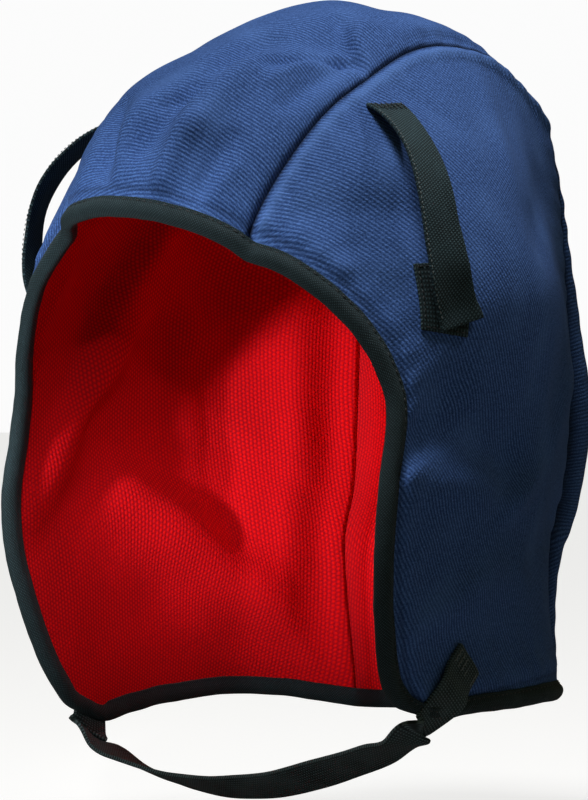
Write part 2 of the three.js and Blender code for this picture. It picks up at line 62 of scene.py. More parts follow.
# the cap's own sizes, in metres
cap = {
    "width": 0.2,
    "depth": 0.25,
    "height": 0.3,
    "swell": 0.019,  # how far a side panel stands out
    "cornerEase": 0.014,  # pull at the back upper corner
    "crownShare": 0.49,  # where the seam turns down the back
    "shellWall": 0.0012,
    "liningWall": 0.0016,
    "layerGap": 0.0004,
    "cornerRound": 0.003,  # how far the hem's front corners are rounded off
    "seat": Vector((0, 0.00565, 0.2962)),  # where the head touches the crown
}
halfWidth = cap["width"] / 2

# side, back, up, lean, rise, square, drop: the seam from the brow over the crown to the nape
seamRows = [
    (0.46, -0.44, 0.64, 0.018, 0.06, 1.9, -0.026),
    (0.47, -0.418, 0.692, 0.018, 0.07, 1.8, -0.014),
    (0.5, -0.348, 0.77, 0.017, 0.09, 1.7, 0.0),
    (0.53, -0.268, 0.83, 0.012, 0.088, 1.6, 0.0),
    (0.54, -0.18, 0.865, 0.004, 0.088, 1.6, 0.0),
    (0.54, -0.072, 0.905, 0.0, 0.088, 1.7, 0.0),
    (0.54, 0.01, 0.923, 0.0, 0.09, 1.7, 0.0),
    (0.54, 0.092, 0.927, 0.0, 0.078, 1.7, 0.0),
    (0.54, 0.178, 0.92, 0.0, 0.056, 1.7, 0.0),
    (0.54, 0.266, 0.89, 0.0, 0.04, 1.8, 0.0),
    (0.54, 0.334, 0.855, 0.0, 0.03, 1.9, 0.0),
    (0.54, 0.366, 0.81, 0.0, 0.032, 2.0, 0.0),
    (0.55, 0.382, 0.74, 0.0, 0.048, 2.3, 0.0),
    (0.56, 0.388, 0.64, 0.0, 0.084, 2.6, 0.0),
    (0.57, 0.394, 0.54, 0.0, 0.13, 2.8, 0.0),
    (0.58, 0.392, 0.42, 0.0, 0.158, 3.0, 0.0),
    (0.57, 0.376, 0.31, -0.002, 0.138, 3.0, 0.0),
    (0.56, 0.344, 0.237, -0.005, 0.126, 2.8, 0.0),
    (0.54, 0.342, 0.15, -0.009, 0.108, 2.6, 0.004),
    (0.53, 0.356, 0.06, -0.014, 0.1, 2.5, 0.016),
    (0.53, 0.368, -0.003, -0.016, 0.104, 2.4, 0.024),
]

# side, back, up, lean: the face edge from the hem's corner to the brow, and the hem to the nape
faceRows = [
    (0.84, -0.216, 0.004, -0.018),
    (0.86, -0.264, 0.03, -0.015),
    (0.879, -0.3, 0.063, -0.01),
    (0.909, -0.326, 0.107, -0.004),
    (0.942, -0.352, 0.173, 0.0),
    (0.973, -0.366, 0.24, 0.0),
    (0.984, -0.366, 0.31, 0.0),
    (0.982, -0.346, 0.39, 0.0),
    (0.97, -0.34, 0.44, 0.0),
    (0.923, -0.354, 0.49, 0.0),
    (0.837, -0.379, 0.54, 0.0),
    (0.703, -0.412, 0.588, 0.003),
    (0.57, -0.43, 0.62, 0.01),
    (0.46, -0.44, 0.64, 0.018),
]
hemRows = [
    (0.84, -0.216, 0.004, -0.018),
    (0.88, -0.16, 0.003, -0.019),
    (0.9, -0.09, 0.01, -0.017),
    (0.9, 0.04, 0.015, -0.012),
    (0.85, 0.18, 0.017, -0.011),
    (0.72, 0.28, 0.01, -0.012),
    (0.53, 0.368, -0.003, -0.016),
]


def clamp(value, low=0.0, high=1.0):
    return max(low, min(high, value))


def smooth(value, low, high):
    t = clamp((value - low) / (high - low))
    return t * t * (3 - 2 * t)


def bell(value, width):
    return math.exp(-((value / width) ** 2))


def runsOf(points):
    # lengths along a line of points, from its start to each of them
    runs = [0.0]
    for before, after in zip(points, points[1:]):
        runs.append(runs[-1] + (after - before).length)
    return runs


def smoothLine(rows):
    places = [Vector((r[0] * halfWidth, r[1] * cap["depth"], r[2] * cap["height"])) for r in rows]
    knots = runsOf(places)
    slopes = []
    for i in range(len(rows)):
        before, after = max(i - 1, 0), min(i + 1, len(rows) - 1)
        span = knots[after] - knots[before]
        slopes.append([(b - a) / span for a, b in zip(rows[before], rows[after])])
    known = {}

    def at(share):
        share = round(clamp(share), 5)
        if share not in known:
            run = share * knots[-1]
            i = 0
            while i < len(rows) - 2 and knots[i + 1] < run:
                i += 1
            span = knots[i + 1] - knots[i]
            t = (run - knots[i]) / span
            a, b = 2 * t**3 - 3 * t**2 + 1, (t**3 - 2 * t**2 + t) * span
            c, d = 3 * t**2 - 2 * t**3, (t**3 - t**2) * span
            known[share] = [
                a * p + b * m + c * q + d * n
                for p, m, q, n in zip(rows[i], slopes[i], rows[i + 1], slopes[i + 1])
            ]
        return known[share]

    return at


seamLine = smoothLine(seamRows)
faceLine = smoothLine(faceRows)
hemLine = smoothLine(hemRows)


def capPoint(row, sign):
    side, back, up, lean = row[:4]
    point = Vector((side * halfWidth * sign, back * cap["depth"], (up - lean * sign) * cap["height"]))
    return point - cap["seat"]


# along, up, length, width, turn in degrees, depth in metres outwards: dents that the whole cap has
sideDents = {
    1: [
        (0.25, 0.4, 0.24, 0.032, -15, 0.0034),
        (0.3, 0.462, 0.22, 0.04, -15, -0.0046),
        (0.46, 0.385, 0.06, 0.045, 0, -0.0026),
        (0.53, 0.335, 0.1, 0.026, 16, 0.0026),
        (0.3, 0.22, 0.3, 0.04, 2, 0.002),
        (0.12, 0.8, 0.1, 0.1, 0, -0.002),
        (0.72, 0.52, 0.1, 0.06, 60, -0.0022),
        (0.42, 0.64, 0.3, 0.09, -6, 0.005),
    ],
    -1: [
        (0.35, 0.55, 0.3, 0.06, 35, -0.0045),
        (0.25, 0.36, 0.25, 0.05, 10, 0.003),
        (0.5, 0.25, 0.25, 0.06, -20, -0.003),
        (0.62, 0.62, 0.12, 0.05, -40, -0.002),
    ],
}
# share, across, length, width, depth in metres outwards
crownDents = [
    (0.215, 0.62, 0.022, 0.16, -0.0045),
    (0.13, -0.45, 0.03, 0.3, -0.0022),
    (0.062, -0.52, 0.03, 0.14, -0.0018),
    (0.08, 0.33, 0.055, 0.15, 0.0022),
    (0.64, 0.0, 0.03, 0.9, -0.003),
]


def fadeEnds(share, margin):
    return smooth(share, 0, margin) * smooth(1 - share, 0, margin)


def ovalSum(dents, along, up):
    depth = 0.0
    for a, u, length, width, turn, deep in dents:
        c, s = math.cos(math.radians(turn)), math.sin(math.radians(turn))
        right, above = along - a, up - u
        far, aside = (right * c + above * s) / length, (above * c - right * s) / width
        depth += deep * math.exp(-(far**2) - aside**2)
    return depth


def centrePoint(share, across):
    row, before, after = seamLine(share), seamLine(share - 0.01), seamLine(share + 0.01)
    back, up = (after[1] - before[1]) * cap["depth"], (after[2] - before[2]) * cap["height"]
    run = Vector((0, back, up)).normalized()
    full = max(1 - abs(across) ** row[5], 0) ** (1 / row[5])
    dent = sum(
        deep * bell(share - s, length) * bell(across - a, width) for s, a, length, width, deep in crownDents
    )
    lift = row[4] * cap["depth"] * full + dent * fadeEnds((across + 1) / 2, 0.12)
    point = capPoint((row[0] * across, row[1], row[2] - row[6] * full - row[3] * across, 0), 1)
    return point + Vector((0, -run.z, run.y)) * lift


def sidePoint(along, up, sign):
    along, up = clamp(along), clamp(up)
    hem, face = capPoint(hemLine(along), sign), capPoint(faceLine(up), sign)
    top = capPoint(seamLine(along * cap["crownShare"]), sign)
    rear = capPoint(seamLine(1 - up * (1 - cap["crownShare"])), sign)
    low = capPoint(hemRows[0], sign).lerp(capPoint(hemRows[-1], sign), along)
    high = capPoint(seamLine(0), sign).lerp(capPoint(seamLine(cap["crownShare"]), sign), along)
    point = hem.lerp(top, up) + face.lerp(rear, along) - low.lerp(high, up)
    full = math.sin(math.pi * along ** (1.7 - 0.7 * up)) * math.sin(math.pi * up**2.2)
    relief = ovalSum(sideDents[sign], along, up) * fadeEnds(along, 0.12) * fadeEnds(up, 0.12)
    point.x += sign * (cap["swell"] * full + relief)
    ease = along**3 * (1 - along) * up**3 * (1 - up) / 0.105**2
    point.y -= 0.75 * cap["cornerEase"] * ease
    point.z -= 0.66 * cap["cornerEase"] * ease
    near = bell(math.hypot(along * 0.2, up * 0.26), 0.009)  # rounds the hem's front corner
    return point + Vector((0, 0.62, 0.78)) * cap["cornerRound"] * near


def runLength(pointAt, parts=24):
    return runsOf([pointAt(i / parts) for i in range(parts + 1)])[-1]


def facing(pointAt, a, b, sign):
    # outward direction of a surface at a place given by two shares
    step = 0.004
    first = pointAt(clamp(a + step), b) - pointAt(clamp(a - step), b)
    second = pointAt(a, clamp(b + step)) - pointAt(a, clamp(b - step))
    return (first.cross(second) * sign).normalized()


def seamFacings(parts=240):
    # directions that the panels share along their seams, so that their edges stay together
    tree = KDTree(2 * (parts + 1))
    found = []
    for sign in (1, -1):
        for i in range(parts + 1):
            share = i / parts
            crown = facing(lambda a, b: centrePoint(b, 2 * a - 1), 0.5 + 0.49 * sign, share, 1)
            if share < cap["crownShare"]:
                along, up = share / cap["crownShare"], 0.99
            else:
                along, up = 0.99, (1 - share) / (1 - cap["crownShare"])
            side = facing(lambda a, b: sidePoint(a, b, sign), along, up, sign)
            tree.insert(centrePoint(share, sign), len(found))
            found.append((crown + side).normalized())
    tree.balance()
    return tree, found


seamTree, seamSides = seamFacings()


def newPiece(bm, name):
    mesh = bpy.data.meshes.new(name)
    bm.to_mesh(mesh)
    bm.free()
    mesh.shade_smooth()
    piece = bpy.data.objects.new(name, mesh)
    bpy.context.scene.collection.objects.link(piece)
    return piece


def addWall(piece, thickness, offset):
    wall = piece.modifiers.new("wall", "SOLIDIFY")
    wall.thickness = thickness
    wall.offset = offset


def wear(piece, material, node=None):
    piece.data.materials.append(material)
    if node:
        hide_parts(node)
    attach(piece, "root")
    return piece


def roundSide(along, up, sign):
    # a side panel's surface with its lower front corner rounded off
    near = (1 - smooth(along, 0, 0.085)) * (1 - smooth(up, 0, 0.065))
    return sidePoint(along + 0.022 * near, up + 0.016 * near, sign)


def startGrid(across, along):
    bm = bmesh.new()
    bmesh.ops.create_grid(bm, x_segments=across, y_segments=along, size=0.5)
    return bm, bm.loops.layers.uv.new("cloth")


def placesOf(bm, across, along):
    # the column and row of each vertex of a flat grid
    spots = [(vert, vert.co.x + 0.5, vert.co.y + 0.5) for vert in bm.verts]
    return {vert: (round(x * across), round(y * along)) for vert, x, y in spots}


def layFlat(bm, layer, flat):
    for face in bm.faces:
        for loop in face.loops:
            loop[layer].uv = flat[loop.vert]


def clothGrid(name, across, along, pointAt, depth, foldAt, upright):
    # a grid of cloth, folded along its normals, with a UV map in metres that follows the cloth's grain
    bm, layer = startGrid(across, along)
    # a per-vertex colour shift that the materials read: painted shade in seam valleys and along the
    # binding, a painted highlight on the welts, and random lighter patches of wear
    paintedShadeAndFade = bm.verts.layers.float.new("paintedShadeAndFade")
    place = placesOf(bm, across, along)
    for vert, (i, j) in place.items():
        vert.co = pointAt(i / across, j / along)
    grid = {ij: vert.co.copy() for vert, ij in place.items()}
    flatU, flatV = {}, {}
    for j in range(along + 1):
        run = runsOf([grid[i, j] for i in range(across + 1)])
        for i in range(across + 1):
            flatU[i, j] = run[i] - run[across // 2]
    for i in range(across + 1):
        run = runsOf([grid[i, j] for j in range(along + 1)])
        for j in range(along + 1):
            flatV[i, j] = run[j] - run[along // 2]
    bm.normal_update()
    middle = Vector((0, 0, -0.15))
    if sum(vert.normal.dot(vert.co - middle) for vert in bm.verts) < 0:
        bmesh.ops.reverse_faces(bm, faces=bm.faces)
        bm.normal_update()
    normals = {}
    for vert in bm.verts:
        index, far = seamTree.find(vert.co)[1:]
        normals[vert] = seamSides[index].lerp(vert.normal, smooth(far, 0, 0.009)).normalized()
    for vert, (i, j) in place.items():
        u, v = flatU[i, j], flatV[i, j]
        ends = (u - flatU[0, j], flatU[across, j] - u, v - flatV[i, 0], flatV[i, along] - v)
        lift, shade = foldAt(i / across, j / along, u, v, ends)
        vert.co = vert.co + normals[vert] * (lift - depth)
        vert[paintedShadeAndFade] = shade
        if upright:
            place[vert] = (grid[i, j].y, grid[i, along // 2].z + flatV[i, j])
        else:
            place[vert] = (flatU[i, j], 0.4 * flatV[i, j] + 0.6 * flatV[across // 2, j])
    layFlat(bm, layer, place)
    return newPiece(bm, name)


def ripple(u, v, scale, seed):
    return noise.noise(Vector((u / scale, v / scale, seed)))


def feed(tree, target, source):
    if isinstance(source, bpy.types.NodeSocket):
        tree.links.new(source, target)
    else:
        target.default_value = source


def sums(tree, operation, a, b=0.0, c=0.0):
    node = tree.nodes.new("ShaderNodeMath")
    node.operation = operation
    for socket, source in zip(node.inputs, (a, b, c)):
        feed(tree, socket, source)
    return node.outputs[0]


def cloud(tree, vector, scale, detail=2.0):
    node = tree.nodes.new("ShaderNodeTexNoise")
    feed(tree, node.inputs["Vector"], vector)
    node.inputs["Scale"].default_value = scale
    node.inputs["Detail"].default_value = detail
    return node.outputs["Fac"]


def blendColor(tree, factor, a, b):
    node = tree.nodes.new("ShaderNodeMix")
    node.data_type = "RGBA"
    feed(tree, node.inputs[0], factor)
    for socket, source in ((node.inputs[6], a), (node.inputs[7], b)):
        if isinstance(source, tuple):
            source = (*source, 1.0)
        feed(tree, socket, source)
    return node.outputs[2]


def span(tree, value, low, high, newLow=0.0, newHigh=1.0):
    node = tree.nodes.new("ShaderNodeMapRange")
    for socket, source in zip(node.inputs, (value, low, high, newLow, newHigh)):
        feed(tree, socket, source)
    return node.outputs[0]


def startGroup(name, takes, gives):
    tree = bpy.data.node_groups.new(name, "ShaderNodeTree")
    for label in takes.split():
        kind = "NodeSocketVector" if label == "Vector" else "NodeSocketFloat"
        tree.interface.new_socket(name=label, in_out="INPUT", socket_type=kind)
    for label in gives.split():
        tree.interface.new_socket(name=label, in_out="OUTPUT", socket_type="NodeSocketFloat")
    return tree, tree.nodes.new("NodeGroupInput").outputs, tree.nodes.new("NodeGroupOutput").inputs


def turnFlat(tree, vector, turn):
    node = tree.nodes.new("ShaderNodeVectorRotate")
    node.rotation_type = "Z_AXIS"
    feed(tree, node.inputs["Vector"], vector)
    feed(tree, node.inputs["Angle"], turn)
    parts = tree.nodes.new("ShaderNodeSeparateXYZ")
    tree.links.new(node.outputs[0], parts.inputs[0])
    return parts.outputs[0], parts.outputs[1]


def wave(tree, run, pitch, shift=0.0):
    turns = sums(tree, "DIVIDE", run, pitch)
    angle = sums(tree, "MULTIPLY_ADD", turns, 2 * math.pi, shift)
    return sums(tree, "MULTIPLY_ADD", sums(tree, "SINE", angle), 0.5, 0.5)


def makeTwillGroup():
    # diagonal wales, with the yarns that cross them and a slow wander
    tree, takes, gives = startGroup("twillWeave", "Vector Turn Pitch Wander", "Wale Height Mottle")
    along, over = turnFlat(tree, takes["Vector"], takes["Turn"])
    slow = cloud(tree, takes["Vector"], 26, 3)
    drift = sums(tree, "MULTIPLY", sums(tree, "SUBTRACT", slow, 0.5), takes["Wander"])
    wale = wave(tree, over, takes["Pitch"], drift)
    yarn = wave(tree, along, takes["Pitch"], sums(tree, "MULTIPLY", wale, 1.6))
    slub = cloud(tree, takes["Vector"], 520, 2)
    fleck = cloud(tree, takes["Vector"], 1500, 2)
    broken = sums(tree, "MULTIPLY", wale, span(tree, slub, 0.3, 0.7, 0.35, 1.0))
    speck = span(tree, fleck, 0.42, 0.75)
    feed(tree, gives["Wale"], sums(tree, "MULTIPLY_ADD", speck, 0.55, sums(tree, "MULTIPLY", broken, 0.7)))
    rough = sums(tree, "MULTIPLY_ADD", yarn, 0.22, sums(tree, "MULTIPLY", broken, 0.6))
    feed(tree, gives["Height"], sums(tree, "MULTIPLY_ADD", fleck, 0.5, rough))
    broad = cloud(tree, takes["Vector"], 13, 4)
    feed(tree, gives["Mottle"], span(tree, broad, 0.3, 0.7))
    return tree


def makeKnitGroup():
    # upright wales of round loops, every other wale half a course lower
    tree, takes, gives = startGroup("knitLoops", "Vector Wale Course", "Loop Height Mottle")
    parts = tree.nodes.new("ShaderNodeSeparateXYZ")
    tree.links.new(takes["Vector"], parts.inputs[0])
    bend = sums(tree, "MULTIPLY", sums(tree, "SUBTRACT", cloud(tree, takes["Vector"], 40), 0.5), 0.0016)
    run = sums(tree, "DIVIDE", sums(tree, "ADD", parts.outputs[0], bend), takes["Wale"])
    odd = sums(tree, "MULTIPLY", sums(tree, "FLOORED_MODULO", sums(tree, "FLOOR", run), 2.0), 0.5)
    rise = sums(tree, "ADD", sums(tree, "DIVIDE", parts.outputs[1], takes["Course"]), odd)
    x = sums(tree, "SUBTRACT", sums(tree, "FRACT", run), 0.5)
    y = sums(tree, "SUBTRACT", sums(tree, "FRACT", rise), 0.5)
    far = sums(tree, "SQRT", sums(tree, "MULTIPLY_ADD", x, x, sums(tree, "MULTIPLY", y, y)))
    loop = span(tree, far, 0.56, 0.12)
    feed(tree, gives["Loop"], loop)
    fuzz = cloud(tree, takes["Vector"], 900, 2)
    feed(tree, gives["Height"], sums(tree, "MULTIPLY_ADD", fuzz, 0.5, loop))
    feed(tree, gives["Mottle"], span(tree, cloud(tree, takes["Vector"], 18, 4), 0.3, 0.7))
    return tree


def makeTapeGroup():
    # narrow woven tape: ribs across it, slanted yarns in them, and fuzz
    tree, takes, gives = startGroup("tapeWeave", "Vector Turn Pitch", "Rib Height Mottle")
    along, over = turnFlat(tree, takes["Vector"], takes["Turn"])
    rib = wave(tree, over, takes["Pitch"])
    yarn = wave(tree, along, sums(tree, "MULTIPLY", takes["Pitch"], 1.3), sums(tree, "MULTIPLY", rib, 3.1))
    fuzz = cloud(tree, takes["Vector"], 800, 3)
    cross = sums(tree, "MULTIPLY", rib, yarn)
    feed(tree, gives["Rib"], sums(tree, "MULTIPLY_ADD", fuzz, 0.5, cross))
    feed(tree, gives["Height"], sums(tree, "MULTIPLY_ADD", fuzz, 0.6, cross))
    feed(tree, gives["Mottle"], span(tree, cloud(tree, takes["Vector"], 60, 3), 0.3, 0.7))
    return tree


twillWeave, knitLoops, tapeWeave = makeTwillGroup(), makeKnitGroup(), makeTapeGroup()


def startMaterial(name):
    material = bpy.data.materials.new(name)
    material.use_nodes = True
    tree = material.node_tree
    shader = tree.nodes["Principled BSDF"]
    flat = tree.nodes.new("ShaderNodeUVMap")
    flat.uv_map = "cloth"
    return material, tree, shader, flat.outputs[0]


def useGroup(tree, group, **values):
    node = tree.nodes.new("ShaderNodeGroup")
    node.node_tree = group
    for label, value in values.items():
        feed(tree, node.inputs[label], value)
    return node.outputs


def finish(shader, sheen, sheenRough, tint, shine):
    shader.inputs["Sheen Weight"].default_value = sheen
    shader.inputs["Sheen Roughness"].default_value = sheenRough
    shader.inputs["Sheen Tint"].default_value = (*tint, 1.0)
    shader.inputs["Specular IOR Level"].default_value = shine


def bump(tree, shader, height, distance, strength):
    node = tree.nodes.new("ShaderNodeBump")
    node.inputs["Strength"].default_value = strength
    node.inputs["Distance"].default_value = distance
    tree.links.new(height, node.inputs["Height"])
    tree.links.new(node.outputs[0], shader.inputs["Normal"])


# reads the painted shade, painted highlight and worn fade that the cloth grids keep on each vertex
def readPaintedShadeAndFade(tree):
    node = tree.nodes.new("ShaderNodeAttribute")
    node.attribute_name = "paintedShadeAndFade"
    return node.outputs["Fac"]


def makeTwill(name, values):
    material, tree, shader, flat = startMaterial(name)
    turn, pitch, wander = math.radians(values["turn"]), values["pitch"], values["wander"]
    weave = useGroup(tree, twillWeave, Vector=flat, Turn=turn, Pitch=pitch, Wander=wander)
    cloth = blendColor(tree, weave["Mottle"], values["dark"], values["mid"])
    lit = blendColor(tree, span(tree, weave["Wale"], 0.1, 0.95), cloth, values["light"])
    # lighter in worn patches and as a painted highlight on the welts; near-black painted shade in the seam
    # valleys and along the binding's edge
    fadeAndPaintedHighlight = blendColor(tree, span(tree, readPaintedShadeAndFade(tree), 0.5, 1.0), lit, values["fadeAndPaintedHighlight"])
    deep = blendColor(tree, span(tree, readPaintedShadeAndFade(tree), 0.5, 0.0), fadeAndPaintedHighlight, values["paintedGrooveShade"])
    tree.links.new(deep, shader.inputs["Base Color"])
    tree.links.new(span(tree, weave["Wale"], 0, 1, 0.92, 0.78), shader.inputs["Roughness"])
    finish(shader, values["sheen"], 0.5, (0.5, 0.65, 1.0), 0.12)
    bump(tree, shader, weave["Height"], 0.0004, values["bump"])
    return material


twill = {
    "pitch": 0.00165,
    "wander": 7.0,
    "dark": (0.016, 0.042, 0.14),
    "mid": (0.024, 0.06, 0.19),
    "light": (0.095, 0.205, 0.56),
    # the next two: a lighter colour for worn patches that also paints a highlight on the welts, and painted
    # shade for the seam valleys and the binding's edge
    "fadeAndPaintedHighlight": (0.105, 0.22, 0.56),
    "paintedGrooveShade": (0.006, 0.012, 0.03),
    "sheen": 0.02,
    "bump": 0.85,
}
crownTwill = makeTwill("twillCrown", {**twill, "turn": -6})
sideTwill = makeTwill("twillSide", {**twill, "turn": 58})
farTwill = makeTwill("twillFar", {**twill, "turn": -58})


def makeKnit(name, values):
    material, tree, shader, flat = startMaterial(name)
    knit = useGroup(tree, knitLoops, Vector=flat, Wale=values["wale"], Course=values["course"])
    ground = blendColor(tree, knit["Mottle"], values["dark"], values["mid"])
    lit = blendColor(tree, knit["Loop"], ground, values["light"])
    # painted shade along the lining's seams
    deep = blendColor(tree, span(tree, readPaintedShadeAndFade(tree), 0.5, 0.0), lit, values["paintedGrooveShade"])
    tree.links.new(deep, shader.inputs["Base Color"])
    tree.links.new(span(tree, knit["Loop"], 0, 1, 0.95, 0.82), shader.inputs["Roughness"])
    finish(shader, 0.05, 0.4, (1.0, 0.05, 0.05), 0.06)
    bump(tree, shader, knit["Height"], 0.0005, 0.42)
    return material


redKnit = makeKnit(
    "redKnit",
    {
        "wale": 0.00165,
        "course": 0.0019,
        "dark": (0.36, 0.004, 0.012),
        "mid": (0.5, 0.004, 0.013),
        "light": (0.84, 0.006, 0.005),
        # painted shade for the lining's seams
        "paintedGrooveShade": (0.1, 0.002, 0.004),
    },
)


def makeTape(name, values):
    material, tree, shader, flat = startMaterial(name)
    weave = useGroup(tree, tapeWeave, Vector=flat, Turn=math.radians(values["turn"]), Pitch=values["pitch"])
    ground = blendColor(tree, weave["Mottle"], values["dark"], values["mid"])
    lit = blendColor(tree, span(tree, weave["Rib"], 0.35, 1.2), ground, values["light"])
    tree.links.new(lit, shader.inputs["Base Color"])
    tree.links.new(span(tree, weave["Rib"], 0.2, 1.2, 0.85, values["gloss"]), shader.inputs["Roughness"])
    finish(shader, values["sheen"], 0.4, (0.75, 0.95, 1.0), 0.22)
    bump(tree, shader, weave["Height"], 0.0003, values["bump"])
    return material


blackTape = {
    "dark": (0.005, 0.01, 0.012),
    "mid": (0.009, 0.018, 0.022),
    "light": (0.032, 0.068, 0.082),
    "gloss": 0.62,
    "sheen": 0.04,
    "bump": 0.7,
}
biasTape = makeTape("biasTape", {**blackTape, "turn": 45, "pitch": 0.00075})
tabColors = {"mid": (0.012, 0.028, 0.036), "light": (0.056, 0.112, 0.136)}
flatTape = makeTape("flatTape", {**blackTape, **tabColors, "turn": 28, "pitch": 0.00115})
strapColors = {"mid": (0.036, 0.056, 0.062), "light": (0.1, 0.155, 0.17)}
strapTape = makeTape("strapTape", {**blackTape, **strapColors, "turn": 0, "pitch": 0.0012})
hookTape = makeTape("hookTape", {**blackTape, "turn": 90, "pitch": 0.0014, "gloss": 0.45})


def makeThread(name, color):
    material, tree, shader, flat = startMaterial(name)
    place = tree.nodes.new("ShaderNodeTexCoord").outputs["Object"]
    grain = cloud(tree, place, 1500, 2)
    deep = tuple(c * 0.6 for c in color)
    tree.links.new(blendColor(tree, grain, deep, color), shader.inputs["Base Color"])
    tree.links.new(span(tree, grain, 0.3, 0.7, 0.5, 0.75), shader.inputs["Roughness"])
    bump(tree, shader, grain, 0.0001, 0.4)
    return material


darkThread = makeThread("darkThread", (0.012, 0.018, 0.022))
paleThread = makeThread("paleThread", (0.16, 0.19, 0.2))
print("materials made")


cloth = {
    "waveTall": 0.0007,  # soft waves in the quilted cloth
    "waveWide": 0.034,
    "creaseTall": 0.0003,
    "creaseWide": 0.013,
    "puckerTall": 0.0005,  # little gathers along the stitching
    "puckerWide": 0.0125,
    "puckerReach": 0.01,
    "edgeTall": 0.0007,  # swell of the padding next to the binding
    "seamTall": 0.0006,  # how far the cloth swells up beside a seam
}


def softFolds(u, v, seed):
    tall = cloth["waveTall"] * ripple(u, v, cloth["waveWide"], seed)
    return tall + cloth["creaseTall"] * ripple(u, v, cloth["creaseWide"], seed + 4.3)


def pucker(run, edge, seed):
    wander = noise.noise(Vector((run / 0.03, seed, 0.0))) * 1.6
    near = math.exp(-edge / cloth["puckerReach"])
    return cloth["puckerTall"] * near * math.sin(run / cloth["puckerWide"] * 2 * math.pi + wander)


# share, across and share, across of a fold's two ends, its width and its depth in metres
crownCreases = [
    (0.212, 0.93, 0.198, 0.76, 0.005, -0.0042),
    (0.205, 0.82, 0.155, 0.48, 0.0038, -0.003),
    (0.198, 0.88, 0.125, 0.82, 0.004, -0.0024),
    (0.214, 0.82, 0.252, 0.5, 0.0036, -0.0028),
    (0.186, 0.7, 0.14, 0.64, 0.0038, 0.0024),
    (0.226, 0.76, 0.262, 0.7, 0.005, 0.0022),
    (0.2, 0.24, 0.122, 0.14, 0.008, -0.0046),
    (0.122, 0.14, 0.05, -0.1, 0.0075, -0.0048),
    (0.165, 0.4, 0.075, 0.4, 0.008, 0.004),
    (0.085, 0.36, 0.022, 0.27, 0.0062, 0.0038),
    (0.12, -0.72, 0.032, -0.4, 0.007, -0.0046),
    (0.11, -0.3, 0.04, -0.22, 0.008, 0.0032),
    (0.085, 0.66, 0.022, 0.6, 0.0048, -0.0026),
    (0.062, 0.8, 0.026, 0.72, 0.0036, 0.0014),
    (0.112, 0.1, 0.096, -0.14, 0.003, -0.0012),
    (0.1, 0.3, 0.088, 0.05, 0.0026, 0.001),
    (0.36, -0.1, 0.3, 0.6, 0.01, -0.002),
    (0.52, 0.5, 0.43, 0.1, 0.01, -0.0018),
    (0.56, -0.6, 0.5, 0.0, 0.009, 0.0018),
    (0.7, -0.5, 0.69, 0.6, 0.009, 0.0022),
    (0.8, -0.2, 0.73, 0.4, 0.009, -0.0018),
    (0.905, -0.5, 0.88, 0.5, 0.008, 0.0016),
]
sideCreases = {
    1: [
        (0.02, 0.47, 0.3, 0.445, 0.0055, 0.0016),
        (0.04, 0.52, 0.26, 0.56, 0.009, -0.0016),
        (0.1, 0.94, 0.26, 0.8, 0.008, -0.0018),
        (0.03, 0.86, 0.16, 0.76, 0.006, 0.0012),
        (0.34, 0.985, 0.3, 0.9, 0.0035, -0.0012),
        (0.44, 0.975, 0.5, 0.88, 0.005, -0.001),
        (0.7, 0.96, 0.6, 0.8, 0.008, 0.0016),
        (0.86, 0.84, 0.6, 0.7, 0.01, -0.002),
        (0.9, 0.56, 0.7, 0.42, 0.009, 0.0018),
        (0.86, 0.3, 0.6, 0.22, 0.01, -0.0018),
        (0.15, 0.2, 0.45, 0.24, 0.007, 0.0012),
    ],
    -1: [
        (0.1, 0.7, 0.45, 0.86, 0.009, -0.0022),
        (0.06, 0.48, 0.4, 0.4, 0.008, 0.0018),
        (0.9, 0.7, 0.6, 0.56, 0.01, -0.002),
        (0.84, 0.3, 0.5, 0.18, 0.009, 0.0018),
        (0.3, 0.985, 0.38, 0.88, 0.005, -0.0014),
    ],
}
crownSize = (0.56, 0.056)  # metres that share and across stand for
sideSize = (0.205, 0.27)


def creaseSum(rows, size, a, b):
    depth = 0.0
    for a0, b0, a1, b1, width, deep in rows:
        x, y = (a - a0) * size[0], (b - b0) * size[1]
        dx, dy = (a1 - a0) * size[0], (b1 - b0) * size[1]
        t = (x * dx + y * dy) / (dx * dx + dy * dy)
        near = math.hypot(x - clamp(t) * dx, y - clamp(t) * dy)
        depth += deep * bell(near, width) * smooth(t, -0.3, 0.25) * smooth(1 - t, -0.3, 0.25)
    return depth


def crownFolds(seed):
    def at(across, share, u, v, ends):
        left, right, brow, nape = ends
        side, edge = min(left, right), min(brow, nape)
        lift = softFolds(u, v, seed) + pucker(v, side, seed + 1.0) + pucker(u, edge - 0.009, seed + 2.0)
        lift += creaseSum(crownCreases, crownSize, share, across * 2 - 1)
        lift -= 0.0024 * bell(right - 0.004, 0.004) * bell(share - 0.36, 0.1)  # the gap under the roll
        lift = lift * smooth(side, 0.0, 0.004) * smooth(edge, 0.009, 0.014)
        lift += cloth["seamTall"] * smooth(side, 0.0004, 0.0045) * smooth(edge, 0.009, 0.014)
        # painted shade: darker in the seam's valley and along the binding's edge; the random lighter
        # patches are wear
        shade = 0.5 - 0.42 * bell(side, 0.0012) - 0.2 * bell(edge - 0.0105, 0.0012)
        shade += 0.16 * max(ripple(u, v, 0.02, seed + 6), 0)
        return lift, shade

    return at


